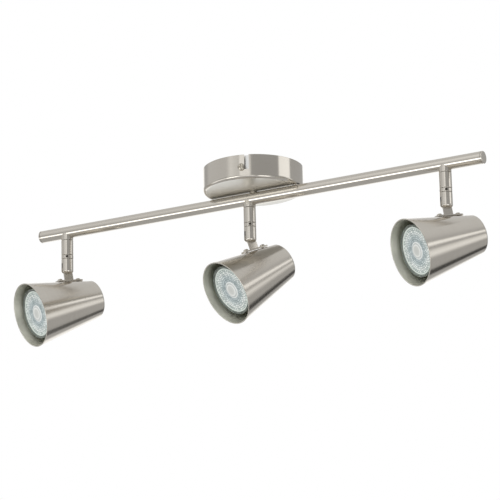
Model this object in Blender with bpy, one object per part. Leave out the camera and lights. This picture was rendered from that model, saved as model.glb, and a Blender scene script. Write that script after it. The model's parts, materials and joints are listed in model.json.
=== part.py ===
"""Ceiling spot bar: a round canopy, a straight tube under it, and three spot heads that swivel and tilt.

The origin is the centre of the canopy on the ceiling plane, +Z up, so the whole fitting hangs below z = 0.
+X runs along the tube. Sizes are in millimetres here and turned into metres when a mesh is made.
Each head hangs on two empties, one on its swivel axis and one on its tilt axis. In the head's own axes +X
points out of the shade's mouth, +Y runs along the tilt axis and +Z is up.
"""

import math

import bmesh
import bpy
from mathutils import Matrix, Vector

MM = 0.001
GAP = 0.3  # clearance between pieces that touch in the real fitting

# Canopy and what it holds
CANOPY_RADIUS = 50.0
CANOPY_HEIGHT = 24.0
CANOPY_WALL = 1.0
CANOPY_FILLET = 3.2
FIXING_DIRECTION = -75.0  # degrees from +X, of the line through both side screws
SLOT_OFFSET = 6.0  # degrees from a side screw to the vertical leg of its slot
SLOT_WIDTH = 4.4
FIXING_Z = -12.8
BRACKET_WIDTH = 18.0
BRACKET_THICKNESS = 1.5
BRACKET_HALF = 46.5
NIPPLE_RADIUS = 3.6

# Tube
TUBE_LENGTH = 500.0
TUBE_RADIUS = 6.25
TUBE_WALL = 1.0
TUBE_Z = -30.75
CAP_THICKNESS = 1.5

# Arms, from the tube down to the tilt axis
ARM_RADIUS = 6.15
STUD_RADIUS = 3.0
COLLAR_BOTTOM = -39.4
SLEEVE_BOTTOM = -55.4
RING_BOTTOM = -59.4
CLEVIS_BOTTOM = -74.7
TILT_AXIS_Z = -70.0
CLEVIS_SLOT = 2.1
PIVOT_RADIUS = 1.5

# Shade, measured from the tilt axis along the shade's own axis
SHADE_DROP = 36.5
SHADE_FRONT = 57.0
SHADE_LENGTH = 78.0
SHADE_FRONT_RADIUS = 33.0
SHADE_REAR_RADIUS = 19.0
SHADE_WALL = 1.0
SHADE_FILLET = 2.5

# Bracket on top of the shade
TONGUE_WIDTH = 10.0
TONGUE_THICKNESS = 1.5
PLATE_LENGTH = 29.0
PLATE_WIDTH = 8.5
PLATE_THICKNESS = 1.5
SCREW_OFFSET = 10.2
STRIP_THICKNESS = 1.2

# Lamp and its holder, along the shade's axis
LAMP_FACE = 50.0
LAMP_RADIUS = 25.5
LAMP_BASE_RADIUS = 10.5
LENS_RADIUS = 23.3
PIN_CIRCLE = 5.0
PIN_RADIUS = 1.5
PIN_HEAD_RADIUS = 2.5
HOLDER_RADIUS = 13.0
HOLDER_FRONT = -0.4
HOLDER_REAR = -12.4
TWIST = 30.0  # degrees from locked to released

# Each head: name, place along the tube, swivel and tilt at rest in degrees
HEADS = (
    ("left", -218.5, 238.0, 19.1),
    ("centre", -4.8, 239.5, 31.4),
    ("right", 208.9, 234.0, 19.3),
)

SHADE_REAR = SHADE_FRONT - SHADE_LENGTH
SHADE_TAPER = math.atan2(SHADE_FRONT_RADIUS - SHADE_REAR_RADIUS, SHADE_LENGTH)


def shade_radius(along):
    """Outer radius of the shade's cone at a distance along its axis from the tilt axis."""
    return SHADE_REAR_RADIUS + (along - SHADE_REAR) * math.tan(SHADE_TAPER)


# From the tilt axis square to the top line of the shade's cone
SHADE_TOP = (SHADE_DROP - shade_radius(0.0)) * math.cos(SHADE_TAPER)
PLATE_TOP = SHADE_TOP - GAP - PLATE_THICKNESS
STRIP_TOP = SHADE_TOP + SHADE_WALL + 0.75


def clear_scene():
    for obj in list(bpy.data.objects):
        bpy.data.objects.remove(obj, do_unlink=True)


def material(name, colour, roughness, metallic):
    """A Principled material with one colour, roughness and metallic value."""
    made = bpy.data.materials.new(name)
    made.use_nodes = True
    shader = made.node_tree.nodes["Principled BSDF"]
    shader.inputs["Base Color"].default_value = (*colour, 1.0)
    shader.inputs["Roughness"].default_value = roughness
    shader.inputs["Metallic"].default_value = metallic
    made.diffuse_color = (*colour, 1.0)
    return made


def arc(centre, radius, start, end, steps):
    """Points on an arc of a profile, from one angle to the other in degrees."""
    points = []
    for i in range(steps + 1):
        angle = math.radians(start + (end - start) * i / steps)
        points.append((centre[0] + radius * math.cos(angle), centre[1] + radius * math.sin(angle)))
    return points


def finished(bm, name, smooth_below=35.0):
    """Turns a bmesh in millimetres into a mesh in metres with outward faces and smooth round sides."""
    bmesh.ops.recalc_face_normals(bm, faces=bm.faces)
    bmesh.ops.scale(bm, vec=(MM, MM, MM), verts=bm.verts)
    mesh = bpy.data.meshes.new(name)
    bm.to_mesh(mesh)
    bm.free()
    mesh.shade_smooth()
    mesh.set_sharp_from_angle(angle=math.radians(smooth_below))
    return mesh


def turned(name, profile, segments):
    """A profile of (radius, height) turned about Z. One that starts and ends at radius 0 closes on the axis."""
    bm = bmesh.new()
    rings = []
    for radius, height in profile:
        if radius == 0.0:
            rings.append([bm.verts.new((0.0, 0.0, height))] * segments)
            continue
        ring = []
        for i in range(segments):
            angle = 2.0 * math.pi * i / segments
            ring.append(bm.verts.new((radius * math.cos(angle), radius * math.sin(angle), height)))
        rings.append(ring)
    on_axis = profile[0][0] == 0.0
    pairs = list(zip(rings, rings[1:])) + ([] if on_axis else [(rings[-1], rings[0])])
    for lower, upper in pairs:
        for i in range(segments):
            j = (i + 1) % segments
            corners = list(dict.fromkeys((lower[i], lower[j], upper[j], upper[i])))
            bm.faces.new(corners)
    return finished(bm, name)


def extruded(name, outline, low, high, across="Z"):
    """A closed outline of two coordinates pushed from low to high along the axis named by across."""
    place = {
        "Z": lambda a, b, c: (a, b, c),
        "Y": lambda a, b, c: (a, c, b),
        "X": lambda a, b, c: (c, a, b),
    }[across]
    bm = bmesh.new()
    near = [bm.verts.new(place(a, b, low)) for a, b in outline]
    far = [bm.verts.new(place(a, b, high)) for a, b in outline]
    bm.faces.new(near)
    bm.faces.new(list(reversed(far)))
    for i in range(len(outline)):
        j = (i + 1) % len(outline)
        bm.faces.new((near[i], far[i], far[j], near[j]))
    return finished(bm, name)


def rod(name, radius, low, high, segments=12):
    return turned(name, [(0.0, low), (radius, low), (radius, high), (0.0, high)], segments)


def moved(mesh, matrix):
    """The same mesh, placed by a matrix whose shift is in millimetres."""
    shift = matrix.translation * MM
    placed = matrix.to_3x3().to_4x4()
    placed.translation = shift
    mesh.transform(placed)
    return mesh


def shift(x, y, z):
    return Matrix.Translation(Vector((x, y, z)))


def turn(degrees, axis):
    return Matrix.Rotation(math.radians(degrees), 4, axis)


ALONG_X = turn(90.0, "Y")  # lays a piece turned about Z along +X
ALONG_Y = turn(-90.0, "X")  # lays a piece turned about Z along +Y


def carved(mesh, cutters, operation="DIFFERENCE"):
    """The mesh with each cutter taken out of it, or joined to it, by exact Booleans."""
    body = bpy.data.objects.new("body", mesh)
    bpy.context.scene.collection.objects.link(body)
    helpers = []
    for cutter in cutters:
        helper = bpy.data.objects.new("cutter", cutter)
        helper.hide_render = True
        helper.display_type = "WIRE"
        bpy.context.scene.collection.objects.link(helper)
        step = body.modifiers.new("cut", "BOOLEAN")
        step.operation = operation
        step.solver = "EXACT"
        step.object = helper
        helpers.append(helper)
    bpy.context.view_layer.update()
    graph = bpy.context.evaluated_depsgraph_get()
    result = bpy.data.meshes.new_from_object(body.evaluated_get(graph))
    result.name = mesh.name
    for obj in [body, *helpers]:
        bpy.data.objects.remove(obj, do_unlink=True)
    result.shade_smooth()
    result.set_sharp_from_angle(angle=math.radians(35.0))
    return result


def part(name, mesh, finish, parent=None):
    """A named piece of the fitting, with its own material slot."""
    obj = bpy.data.objects.new(name, mesh)
    bpy.context.scene.collection.objects.link(obj)
    obj.parent = parent
    if not mesh.materials:
        mesh.materials.append(finish)
    return obj


def axes(name, location=(0.0, 0.0, 0.0), rotation=(0.0, 0.0, 0.0), parent=None):
    """An empty that holds pieces, with its place in millimetres and its turn in degrees."""
    empty = bpy.data.objects.new(name, None)
    bpy.context.scene.collection.objects.link(empty)
    empty.location = [value * MM for value in location]
    empty.rotation_euler = [math.radians(value) for value in rotation]
    empty.parent = parent
    return empty


def pan_head_screw(name, head_radius, head_height, shank_radius, shank_length):
    """A domed screw that points along -Z, with the underside of its head at z = 0 and a cross recess."""
    dome = [
        (head_radius, 0.0),
        (head_radius, 0.45 * head_height),
        (0.62 * head_radius, 0.9 * head_height),
        (0.0, head_height),
    ]
    shank = [(0.0, -shank_length), (shank_radius, -shank_length), (shank_radius, 0.0)]
    screw = turned(name, shank + dome, 12)
    depth = 0.45 * head_height
    arm = 0.58 * head_radius
    half = 0.13 * head_radius
    cross = [(arm, half), (half, half), (half, arm), (-half, arm), (-half, half), (-arm, half)]
    cross += [(-a, -b) for a, b in cross]
    return carved(screw, [extruded("recess", cross, head_height - depth, head_height + 1.0)])


def arc_slot(name, circle, half_width, start, end, low, high):
    """An upright curved slot of constant width about the Z axis, with round ends."""
    outline = arc((0.0, 0.0), circle + half_width, start, end, 4)
    for angle, turn_from in ((end, end), (start, start + 180.0)):
        tip = (circle * math.cos(math.radians(angle)), circle * math.sin(math.radians(angle)))
        outline += arc(tip, half_width, turn_from, turn_from + 180.0, 4)[1:-1]
        if angle == end:
            outline += arc((0.0, 0.0), circle - half_width, end, start, 4)
    return extruded(name, outline, low, high)


def canopy_mesh():
    """A spun cup with a rounded lower edge, a centre hole and two L-shaped bayonet slots at its rim."""
    radius = CANOPY_RADIUS
    inner = radius - CANOPY_WALL
    bottom = -CANOPY_HEIGHT
    hole = NIPPLE_RADIUS + GAP
    profile = [(radius, 0.0)]
    profile += arc((radius - CANOPY_FILLET, bottom + CANOPY_FILLET), CANOPY_FILLET, 0.0, -90.0, 3)
    profile += [(hole, bottom), (hole, bottom + CANOPY_WALL)]
    inner_fillet = CANOPY_FILLET - CANOPY_WALL
    profile += arc((inner - inner_fillet, bottom + CANOPY_FILLET), inner_fillet, -90.0, 0.0, 3)
    profile += [(inner, 0.0)]
    cup = turned("canopy", profile, 44)
    cutters = []
    half = 0.5 * SLOT_WIDTH
    for direction in (FIXING_DIRECTION, FIXING_DIRECTION + 180.0):
        leg = extruded("leg", [(44.0, -half), (56.0, -half), (56.0, half), (44.0, half)], FIXING_Z - half, 2.0)
        cutters.append(moved(leg, turn(direction + SLOT_OFFSET, "Z")))
        sweep = arc((0.0, 0.0), 56.0, -2.5, SLOT_OFFSET, 3) + arc((0.0, 0.0), 44.0, SLOT_OFFSET, -2.5, 3)
        foot = extruded("foot", sweep, FIXING_Z - half, FIXING_Z + half)
        cutters.append(moved(foot, turn(direction, "Z")))
    return carved(cup, cutters)


def bracket_mesh():
    """A steel strip against the ceiling, bent down at both ends for the canopy's side screws."""
    outer = BRACKET_HALF
    inner = outer - BRACKET_THICKNESS
    half = 0.5 * BRACKET_WIDTH
    ear = -17.0
    outline = [(-outer, 0.0), (-outer, ear), (-inner, ear), (-inner, -BRACKET_THICKNESS)]
    outline += [(inner, -BRACKET_THICKNESS), (inner, ear), (outer, ear), (outer, 0.0)]
    strip = extruded("mounting_bracket", outline, -half, half, across="Y")
    cutters = []
    for side in (-1.0, 1.0):
        slot = arc((side * 25.0 + 8.0, 0.0), 2.5, -90.0, 90.0, 6)
        slot += arc((side * 25.0 - 8.0, 0.0), 2.5, 90.0, 270.0, 6)
        cutters.append(extruded("ceiling_slot", slot, -3.0, 1.0))
    tapped = rod("tapped", 1.7 + GAP, -60.0, 60.0)
    cutters.append(moved(tapped, shift(0.0, 0.0, FIXING_Z) @ ALONG_X))
    cutters.append(moved(rod("earth_hole", 1.6 + GAP, -3.0, 1.0), shift(8.0, 0.0, 0.0)))
    return carved(strip, cutters)


def terminal_block_mesh():
    """A moulded block with three wire ways through it and a screw well over each."""
    low = -CANOPY_HEIGHT + CANOPY_WALL + GAP
    high = low + 11.5
    block = extruded("terminal_block", [(-15.0, 15.0), (15.0, 15.0), (15.0, 29.0), (-15.0, 29.0)], low, high)
    cutters = []
    for place in (-9.0, 0.0, 9.0):
        way = rod("way", 1.8, 14.0, 30.0, 10)
        cutters.append(moved(way, shift(place, 0.0, low + 4.5) @ ALONG_Y))
        cutters.append(moved(rod("well", 2.1, low + 7.5, high + 1.0, 10), shift(place, 18.5, 0.0)))
        cutters.append(moved(rod("well", 2.1, low + 7.5, high + 1.0, 10), shift(place, 25.5, 0.0)))
    return carved(block, cutters)


def nipple_mesh():
    """A hollow threaded stud with a collar inside the tube, which clamps the tube to the canopy."""
    profile = [(2.4, -16.0), (2.4, -30.2), (4.7, -30.2), (4.7, -28.7), (NIPPLE_RADIUS, -28.7)]
    return turned("centre_nipple", profile + [(NIPPLE_RADIUS, -16.0)], 12)


def nut_mesh():
    floor = -CANOPY_HEIGHT + CANOPY_WALL + GAP
    hexagon = [(6.4 * math.cos(math.radians(a)), 6.4 * math.sin(math.radians(a))) for a in range(0, 360, 60)]
    nut = extruded("nipple_nut", hexagon, floor, floor + 3.5)
    return carved(nut, [rod("bore", NIPPLE_RADIUS + GAP, floor - 1.0, floor + 5.0)])


def tube_mesh():
    """The straight tube, with a hole on top for the nipple and one below for each arm's stud."""
    half = 0.5 * TUBE_LENGTH - CAP_THICKNESS - GAP
    inner = TUBE_RADIUS - TUBE_WALL
    profile = [(TUBE_RADIUS, -half), (TUBE_RADIUS, half), (inner, half), (inner, -half)]
    tube = moved(turned("bar_tube", profile, 24), shift(0.0, 0.0, TUBE_Z) @ ALONG_X)
    cutters = [rod("top_hole", NIPPLE_RADIUS + GAP, TUBE_Z + 2.0, TUBE_Z + 10.0)]
    for head in HEADS:
        hole = rod("stud_hole", STUD_RADIUS + GAP, TUBE_Z - 10.0, TUBE_Z - 2.0)
        cutters.append(moved(hole, shift(head[1], 0.0, 0.0)))
    return carved(tube, cutters)


def end_cap_mesh(side):
    """A pressed-in cap with a rounded edge, on the end of the tube towards side."""
    outer = 0.5 * TUBE_LENGTH
    seat = outer - CAP_THICKNESS
    plug = TUBE_RADIUS - TUBE_WALL - GAP
    profile = [(0.0, seat - 5.0), (plug, seat - 5.0), (plug, seat), (TUBE_RADIUS, seat)]
    profile += arc((TUBE_RADIUS - 1.2, outer - 1.2), 1.2, 0.0, 90.0, 3) + [(0.0, outer)]
    way = ALONG_X if side > 0 else turn(-90.0, "Y")
    return moved(turned("end_cap", profile, 20), shift(0.0, 0.0, TUBE_Z) @ way)


def collar_mesh():
    """The short saddle that fits round the underside of the tube, in an arm's axes."""
    bore = STUD_RADIUS + GAP
    top = TUBE_Z - 1.0
    bottom = COLLAR_BOTTOM
    profile = [(bore, top), (bore, bottom), (ARM_RADIUS - 0.4, bottom), (ARM_RADIUS, bottom + 0.4)]
    collar = turned("saddle_collar", profile + [(ARM_RADIUS, top)], 18)
    tube = rod("tube", TUBE_RADIUS + GAP, -20.0, 20.0, 24)
    return carved(collar, [moved(tube, shift(0.0, 0.0, TUBE_Z) @ ALONG_X)])


def sleeve_mesh():
    top = COLLAR_BOTTOM - GAP
    bore = STUD_RADIUS + GAP
    edge = 0.4
    profile = [(bore, top), (bore, SLEEVE_BOTTOM), (ARM_RADIUS - edge, SLEEVE_BOTTOM)]
    profile += [(ARM_RADIUS, SLEEVE_BOTTOM + edge), (ARM_RADIUS, top - edge), (ARM_RADIUS - edge, top)]
    return turned("upper_sleeve", profile, 18)


def swivel_core_mesh():
    """A hollow stud up into the tube, a ring with four spanner slots, and an axle that the clevis turns on."""
    bore = 1.8
    top = SLEEVE_BOTTOM - GAP
    low = RING_BOTTOM
    lip = low - 3.0
    profile = [(bore, TUBE_Z - 3.5), (bore, lip - 1.4), (4.0, lip - 1.4), (4.0, lip), (2.6, lip), (2.6, low)]
    profile += [(ARM_RADIUS, low), (ARM_RADIUS, top), (STUD_RADIUS, top), (STUD_RADIUS, TUBE_Z - 3.5)]
    core = turned("swivel_core", profile, 18)
    cutters = []
    for angle in (28.0, 118.0, 208.0, 298.0):
        notch = [(3.9, -1.2), (8.0, -1.2), (8.0, 1.2), (3.9, 1.2)]
        cutters.append(moved(extruded("notch", notch, low + 0.8, top - 0.8), turn(angle, "Z")))
    return carved(core, cutters)


def clevis_mesh():
    """The lower sleeve: it turns on the axle above, and its slotted round end holds the tongue."""
    top = RING_BOTTOM - GAP
    bottom = CLEVIS_BOTTOM
    round_end = 4.6
    profile = [(2.9, top), (2.9, top - 2.4), (4.5, top - 2.4), (4.5, TILT_AXIS_Z + 4.0), (0.0, TILT_AXIS_Z + 4.0)]
    profile = list(reversed(profile))
    profile += [(ARM_RADIUS - 0.4, top), (ARM_RADIUS, top - 0.4)]
    profile += arc((ARM_RADIUS - round_end, bottom + round_end), round_end, 0.0, -90.0, 4) + [(0.0, bottom)]
    body = turned("clevis", profile, 18)
    half = 0.5 * CLEVIS_SLOT
    slot = extruded("slot", [(-8.0, -half), (8.0, -half), (8.0, half), (-8.0, half)], bottom - 1.0, TILT_AXIS_Z + 5.8)
    bore = moved(rod("bore", PIVOT_RADIUS + GAP, -9.0, 4.8), shift(0.0, 0.0, TILT_AXIS_Z) @ ALONG_Y)
    return moved(carved(body, [slot, bore]), shift(0.0, 0.0, -TILT_AXIS_Z))


def square_to_cone():
    """The turn from the tilt axes to axes whose X lies along the top line of the shade's cone."""
    return turn(-math.degrees(SHADE_TAPER), "Y")


def tongue_bracket_mesh():
    """A flat tongue on the tilt axis, joined square to the plate that is screwed to the shade."""
    half = 0.5 * TONGUE_WIDTH
    plate_bottom = -PLATE_TOP - PLATE_THICKNESS
    outline = arc((0.0, 0.0), half, 0.0, 180.0, 8) + [(-half, plate_bottom + 0.4), (half, plate_bottom + 0.4)]
    edge = 0.5 * TONGUE_THICKNESS
    tongue = extruded("tongue_bracket", outline, -edge, edge, across="Y")
    end = 0.5 * PLATE_LENGTH
    side = 0.5 * PLATE_WIDTH
    corner = 2.0
    plate_outline = arc((end - corner, side - corner), corner, 0.0, 90.0, 3)
    plate_outline += arc((corner - end, side - corner), corner, 90.0, 180.0, 3)
    plate_outline += arc((corner - end, corner - side), corner, 180.0, 270.0, 3)
    plate_outline += arc((end - corner, corner - side), corner, 270.0, 360.0, 3)
    plate = extruded("plate", plate_outline, plate_bottom, -PLATE_TOP)
    bracket = carved(tongue, [plate], "UNION")
    cutters = [moved(rod("pivot_hole", PIVOT_RADIUS + GAP, -3.0, 3.0), ALONG_Y)]
    for place in (-SCREW_OFFSET, SCREW_OFFSET):
        cutters.append(moved(rod("hole", 1.5, plate_bottom - 1.0, -PLATE_TOP + 1.0, 12), shift(place, 0.0, 0.0)))
    return moved(carved(bracket, cutters), square_to_cone())


def bracket_screw_mesh(place):
    screw = pan_head_screw("bracket_screw", 2.5, 1.8, 1.2, 6.0)
    return moved(screw, square_to_cone() @ shift(place, 0.0, GAP - PLATE_TOP))


def shade_mesh():
    """A conical cup, open at the mouth and closed at the narrow end, with two screw holes on its top line."""
    wall = SHADE_WALL
    rear = SHADE_REAR
    fillet = SHADE_FILLET
    inner = fillet - wall
    corner = shade_radius(rear + fillet)
    profile = [(0.0, rear)]
    profile += arc((corner - fillet, rear + fillet), fillet, -90.0, 0.0, 3)
    profile += [(SHADE_FRONT_RADIUS, SHADE_FRONT), (SHADE_FRONT_RADIUS - wall, SHADE_FRONT)]
    profile += arc((corner - fillet, rear + fillet), inner, 0.0, -90.0, 2)
    profile += [(0.0, rear + wall)]
    cup = moved(turned("shade", profile, 28), shift(0.0, 0.0, -SHADE_DROP) @ ALONG_X)
    cutters = []
    for place in (-SCREW_OFFSET, SCREW_OFFSET):
        hole = rod("hole", 1.5, -SHADE_TOP - 4.0, -SHADE_TOP + 4.0, 12)
        cutters.append(moved(hole, square_to_cone() @ shift(place, 0.0, 0.0)))
    return carved(cup, cutters)


def holder_bracket_mesh():
    """A strip under the shade's top line, held by the plate's screws, with a leg down behind the lamp holder."""
    taper = SHADE_TAPER
    top = -STRIP_TOP
    low = top - STRIP_THICKNESS

    def placed(along, height):
        """From the cone's top line to the tilt axes."""
        x = along * math.cos(taper) - height * math.sin(taper)
        z = along * math.sin(taper) + height * math.cos(taper)
        return (x, z)

    leg_front = HOLDER_REAR - GAP
    leg_rear = leg_front - STRIP_THICKNESS
    top_slope = math.tan(taper)
    top_front = placed(14.0, top)
    low_front = placed(14.0, low)
    top_rear = (leg_rear, top_front[1] + (leg_rear - top_front[0]) * top_slope)
    low_rear = (leg_front, low_front[1] + (leg_front - low_front[0]) * top_slope)
    foot = -SHADE_DROP - 9.0
    outline = [top_front, low_front, low_rear, (leg_front, foot), (leg_rear, foot), top_rear]
    strip = extruded("holder_bracket", outline, -4.0, 4.0, across="Y")
    cutters = []
    for place in (-SCREW_OFFSET, SCREW_OFFSET):
        hole = rod("hole", 1.5, low - 1.5, top + 1.5, 12)
        cutters.append(moved(hole, square_to_cone() @ shift(place, 0.0, 0.0)))
    return carved(strip, cutters)


def on_shade_axis():
    return shift(0.0, 0.0, -SHADE_DROP) @ ALONG_X


def lamp_holder_mesh():
    """A ceramic cup, closed in front but for two keyhole slots, where the lamp's pins lock."""
    plate = HOLDER_FRONT - 2.5
    profile = [(0.0, HOLDER_FRONT), (HOLDER_RADIUS - 0.8, HOLDER_FRONT), (HOLDER_RADIUS, HOLDER_FRONT - 0.8)]
    profile += [(HOLDER_RADIUS, HOLDER_REAR), (8.6, HOLDER_REAR), (8.6, plate), (0.0, plate)]
    cup = turned("lamp_holder", profile, 20)
    cutters = []
    for start in (90.0, 270.0):
        entry = rod("entry", PIN_HEAD_RADIUS + GAP, -8.0, 2.0, 15)
        angle = math.radians(start + TWIST)
        cutters.append(moved(entry, shift(PIN_CIRCLE * math.cos(angle), PIN_CIRCLE * math.sin(angle), 0.0)))
    for start in (90.0, 270.0):
        cutters.append(arc_slot("slot", PIN_CIRCLE, PIN_RADIUS + GAP, start, start + TWIST, -8.0, 2.0))
    return moved(carved(cup, cutters), on_shade_axis())


def lamp_body_mesh():
    """The lamp's shell: a rim round the lens, a flared body, and a solid base with sockets for two pins."""
    wall = 1.2
    face = LAMP_FACE
    base = LAMP_BASE_RADIUS
    outer = [(0.0, 0.0), (base - 0.8, 0.0), (base, 0.8), (base, 12.0), (14.5, 20.0), (19.5, 32.0), (24.0, 44.0)]
    outer += [(LAMP_RADIUS, 46.0), (LAMP_RADIUS, face - 0.8), (LAMP_RADIUS - 0.8, face)]
    lens_seat = LENS_RADIUS + GAP
    inner = [(lens_seat, face), (lens_seat, face - 2.6), (21.5, face - 2.6), (18.0, 32.0)]
    inner += [(13.0, 20.0), (base - wall, 12.0), (base - wall, 6.0), (0.0, 6.0)]
    shell = turned("lamp_body", outer + inner, 20)
    cutters = []
    for side in (-1.0, 1.0):
        cutters.append(moved(rod("socket", PIN_RADIUS + GAP, -1.0, 3.0, 12), shift(0.0, side * PIN_CIRCLE, 0.0)))
    return moved(carved(shell, cutters), on_shade_axis())


def lamp_lens_mesh():
    """A clear disc with a raised centre boss, set into the lamp's rim."""
    back = LAMP_FACE - 2.3
    front = LAMP_FACE - 0.7
    profile = [(0.0, back), (LENS_RADIUS, back), (LENS_RADIUS, front), (7.8, front), (7.2, front + 0.5)]
    return moved(turned("lamp_lens", profile + [(0.0, front + 0.5)], 20), on_shade_axis())


def lamp_pin_mesh(side):
    profile = [(0.0, -7.4), (PIN_HEAD_RADIUS - 0.5, -7.4), (PIN_HEAD_RADIUS, -6.9), (PIN_HEAD_RADIUS, -5.2)]
    profile += [(PIN_RADIUS, -5.2), (PIN_RADIUS, 2.7), (0.0, 2.7)]
    pin = moved(turned("lamp_pin", profile, 12), shift(0.0, side * PIN_CIRCLE, 0.0))
    return moved(pin, on_shade_axis())


def build_canopy(finishes):
    """The pieces at the ceiling. The fixing axes have X along the line through both side screws."""
    part("canopy", canopy_mesh(), finishes["nickel"])
    fixing = axes("fixing_axes", rotation=(0.0, 0.0, FIXING_DIRECTION))
    part("mounting_bracket", bracket_mesh(), finishes["zinc"], fixing)
    side_screw = pan_head_screw("canopy_screw", 3.5, 2.3, 1.7, 7.5)
    moved(side_screw, shift(CANOPY_RADIUS + GAP, 0.0, FIXING_Z) @ ALONG_X)
    part("canopy_screw_front", side_screw, finishes["screw"], fixing)
    rear = axes("rear_fixing_axes", rotation=(0.0, 0.0, FIXING_DIRECTION + 180.0))
    part("canopy_screw_rear", side_screw, finishes["screw"], rear)
    part("terminal_block", terminal_block_mesh(), finishes["moulding"], fixing)
    earth = pan_head_screw("earth_screw", 3.2, 2.2, 1.6, 1.4)
    moved(earth, shift(8.0, 0.0, -BRACKET_THICKNESS - GAP) @ turn(180.0, "X"))
    part("earth_screw", earth, finishes["brass"], fixing)
    part("centre_nipple", nipple_mesh(), finishes["zinc"])
    part("nipple_nut", nut_mesh(), finishes["zinc"])


def build_tube(finishes):
    part("bar_tube", tube_mesh(), finishes["nickel"])
    part("end_cap_left", end_cap_mesh(-1), finishes["nickel"])
    part("end_cap_right", end_cap_mesh(1), finishes["nickel"])


def head_meshes():
    """Every mesh of one head, made once and shared by the three heads."""
    return {
        "saddle_collar": collar_mesh(),
        "upper_sleeve": sleeve_mesh(),
        "swivel_core": swivel_core_mesh(),
        "clevis": clevis_mesh(),
        "pivot_pin": moved(rod("pivot_pin", PIVOT_RADIUS, -5.3, 4.4), ALONG_Y),
        "tongue_bracket": tongue_bracket_mesh(),
        "bracket_screw_front": bracket_screw_mesh(SCREW_OFFSET),
        "bracket_screw_rear": bracket_screw_mesh(-SCREW_OFFSET),
        "shade": shade_mesh(),
        "holder_bracket": holder_bracket_mesh(),
        "lamp_holder": lamp_holder_mesh(),
        "lamp_body": lamp_body_mesh(),
        "lamp_lens": lamp_lens_mesh(),
        "lamp_pin_a": lamp_pin_mesh(1.0),
        "lamp_pin_b": lamp_pin_mesh(-1.0),
    }


FIXED = ("saddle_collar", "upper_sleeve", "swivel_core")
SWIVELS = ("clevis", "pivot_pin")
FINISH_OF = {
    "saddle_collar": "nickel",
    "upper_sleeve": "nickel",
    "swivel_core": "nickel",
    "clevis": "nickel",
    "pivot_pin": "screw",
    "tongue_bracket": "nickel",
    "bracket_screw_front": "screw",
    "bracket_screw_rear": "screw",
    "shade": "nickel",
    "holder_bracket": "zinc",
    "lamp_holder": "ceramic",
    "lamp_body": "lamp_shell",
    "lamp_lens": "lens",
    "lamp_pin_a": "zinc",
    "lamp_pin_b": "zinc",
}


def build_head(head, meshes, finishes):
    """One head: fixed pieces on the arm, the clevis on the swivel axis, and the rest on the tilt axis."""
    name, place, pan, tilt = head
    arm = axes(f"{name}_arm_axis", (place, 0.0, 0.0))
    swivel = axes(f"{name}_swivel_axis", (place, 0.0, TILT_AXIS_Z), (0.0, 0.0, pan))
    tilting = axes(f"{name}_tilt_axis", rotation=(0.0, tilt, 0.0), parent=swivel)
    for piece, mesh in meshes.items():
        holder = arm if piece in FIXED else swivel if piece in SWIVELS else tilting
        part(f"{piece}_{name}", mesh, finishes[FINISH_OF[piece]], holder)


def main():
    clear_scene()
    finishes = {
        "nickel": material("satin_nickel", (0.56, 0.53, 0.47), 0.32, 1.0),
        "zinc": material("zinc_plated_steel", (0.62, 0.63, 0.65), 0.35, 1.0),
        "screw": material("nickel_plated_screw", (0.50, 0.48, 0.43), 0.28, 1.0),
        "brass": material("brass", (0.72, 0.55, 0.28), 0.3, 1.0),
        "moulding": material("white_moulding", (0.82, 0.82, 0.80), 0.5, 0.0),
        "ceramic": material("glazed_ceramic", (0.86, 0.85, 0.80), 0.4, 0.0),
        "lamp_shell": material("lamp_shell", (0.80, 0.82, 0.84), 0.2, 0.0),
        "lens": material("clear_lens", (0.86, 0.90, 0.93), 0.1, 0.0),
    }
    build_canopy(finishes)
    build_tube(finishes)
    meshes = head_meshes()
    for head in HEADS:
        build_head(head, meshes, finishes)


main()
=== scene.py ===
"""Fine shapes and looks for a ceiling spot bar: a round canopy, a straight tube and three swivelling spots.

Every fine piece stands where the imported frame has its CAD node. Lengths in the classes are millimetres; the
frame and the finished meshes are metres. Each spot's directions come from the record's own joints.
"""

import json
import logging
import math
from dataclasses import dataclass, field
from enum import Enum
from functools import partial
from typing import Any, Callable, Sequence

import bmesh
import bpy
import numpy as np
from mathutils import Matrix, Vector


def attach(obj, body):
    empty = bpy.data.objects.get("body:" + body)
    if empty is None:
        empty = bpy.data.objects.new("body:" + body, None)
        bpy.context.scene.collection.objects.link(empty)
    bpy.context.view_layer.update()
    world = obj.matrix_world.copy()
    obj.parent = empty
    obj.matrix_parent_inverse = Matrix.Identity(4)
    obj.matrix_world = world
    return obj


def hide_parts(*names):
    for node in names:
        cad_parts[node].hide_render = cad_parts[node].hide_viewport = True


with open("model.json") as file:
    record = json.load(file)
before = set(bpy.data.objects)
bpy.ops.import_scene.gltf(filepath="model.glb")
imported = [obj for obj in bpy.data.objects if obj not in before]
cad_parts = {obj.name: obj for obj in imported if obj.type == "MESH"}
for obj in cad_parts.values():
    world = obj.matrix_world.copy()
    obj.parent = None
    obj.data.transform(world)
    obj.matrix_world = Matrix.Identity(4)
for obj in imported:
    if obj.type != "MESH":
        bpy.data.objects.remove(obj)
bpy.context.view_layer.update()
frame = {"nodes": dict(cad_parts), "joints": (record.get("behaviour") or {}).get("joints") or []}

MM = 0.001
LOG = logging.getLogger("spot_bar")


# ------------------------------------------------------------------------------- colours and nodes


def linear(code: str) -> tuple[float, float, float, float]:
    """Turns an sRGB hex colour into the linear values that a shader socket takes.

    Args:
        code: six hex digits, such as "D4CDC1".

    Returns:
        Red, green, blue and an alpha of one.
    """
    parts = np.array([int(code[i : i + 2], 16) for i in (0, 2, 4)]) / 255.0
    low, high = parts / 12.92, ((parts + 0.055) / 1.055) ** 2.4
    red, green, blue = np.where(parts <= 0.04045, low, high)
    return float(red), float(green), float(blue), 1.0


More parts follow.
